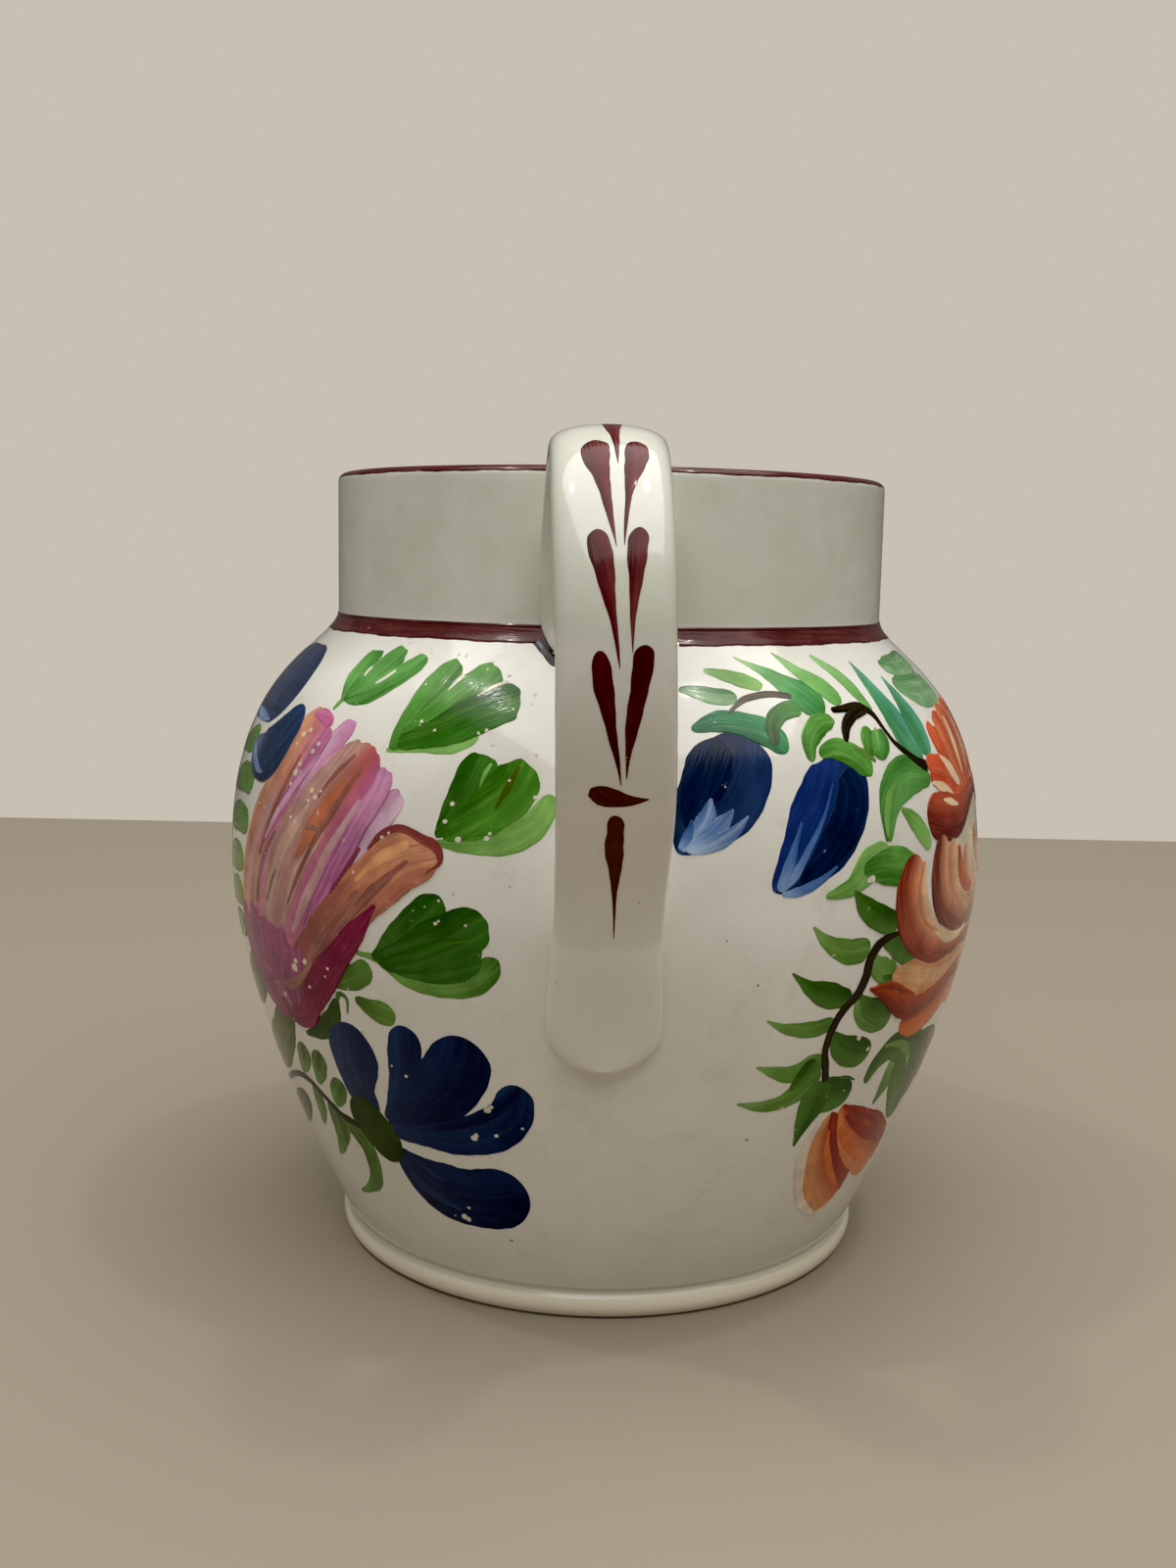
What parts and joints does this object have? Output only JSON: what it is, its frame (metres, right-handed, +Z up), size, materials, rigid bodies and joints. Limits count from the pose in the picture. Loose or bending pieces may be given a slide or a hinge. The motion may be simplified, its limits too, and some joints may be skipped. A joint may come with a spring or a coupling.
{
  "type": "pearlware jug",
  "caption": "Round-bellied pottery jug with upright neck, pulled spout, flat strap handle and hand-painted flowers.",
  "frame": {"origin": "on the jug's axis at table level, at the middle of the shallow hollow under the foot", "axes": "+Z up, +Y to the spout, -Y to the handle"},
  "size_m": [0.1472, 0.1761, 0.1537],
  "materials": {
    "pearlware_glaze": "glossy clear glaze over a creamy white body, painted over the glaze in green, blue, pink, orange and maroon enamels"
  },
  "bodies": {
    "root": {"jug": "pearlware_glaze"}
  },
  "joints": []
}
